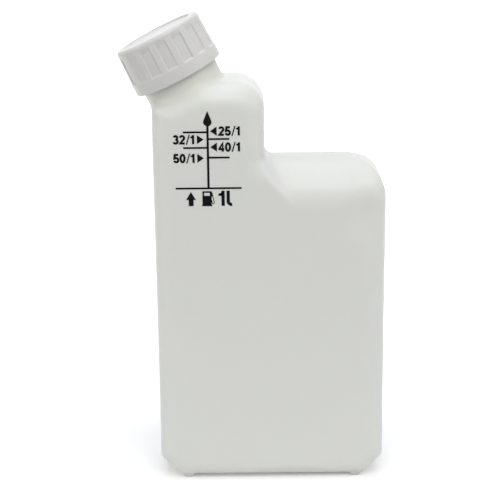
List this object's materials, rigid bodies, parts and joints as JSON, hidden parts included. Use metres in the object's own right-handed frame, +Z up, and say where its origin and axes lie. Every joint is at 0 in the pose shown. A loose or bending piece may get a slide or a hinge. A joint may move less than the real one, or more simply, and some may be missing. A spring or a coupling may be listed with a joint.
{
  "type": "fuel mixing bottle",
  "caption": "Flat translucent plastic bottle with a raised measuring column, a tilted screw neck, a fluted screw cap and a black printed mixing scale.",
  "frame": {"origin": "under the middle of the whole object's box, at the level of the surface that the bottle stands on", "axes": "+Z up, -Y the printed front, +X from the measuring column towards the low shoulder"},
  "size_m": [0.1442, 0.052, 0.2612],
  "materials": {
    "polyethylene": "blow-moulded natural high-density polyethylene, milky and translucent, soft satin gloss",
    "cap_plastic": "injection-moulded white polyethylene, satin",
    "liner_foam": "white polyethylene foam sheet, matt",
    "black_ink": "black screen-printing ink, slightly glossy"
  },
  "bodies": {
    "bottle": {"bottle_body": "polyethylene", "printed_scale": "black_ink"},
    "liner": {"cap_liner": "liner_foam"},
    "cap": {"screw_cap": "cap_plastic"}
  },
  "joints": [
    {"name": "cap_lift", "type": "slide", "parent": "bottle", "child": "liner", "axis": [-0.4431, 0, 0.8965], "range_m": [0, 0.024]},
    {"name": "cap_turn", "type": "hinge", "parent": "liner", "child": "cap", "pos_m": [-0.03947, 0.00005, 0.22785], "axis": [-0.4431, 0, 0.8965], "range_deg": [0, 2160]}
  ],
  "couplings": [
    {"joint": "cap_lift", "follows": "cap_turn", "m_per_rad": 0.0006366}
  ]
}
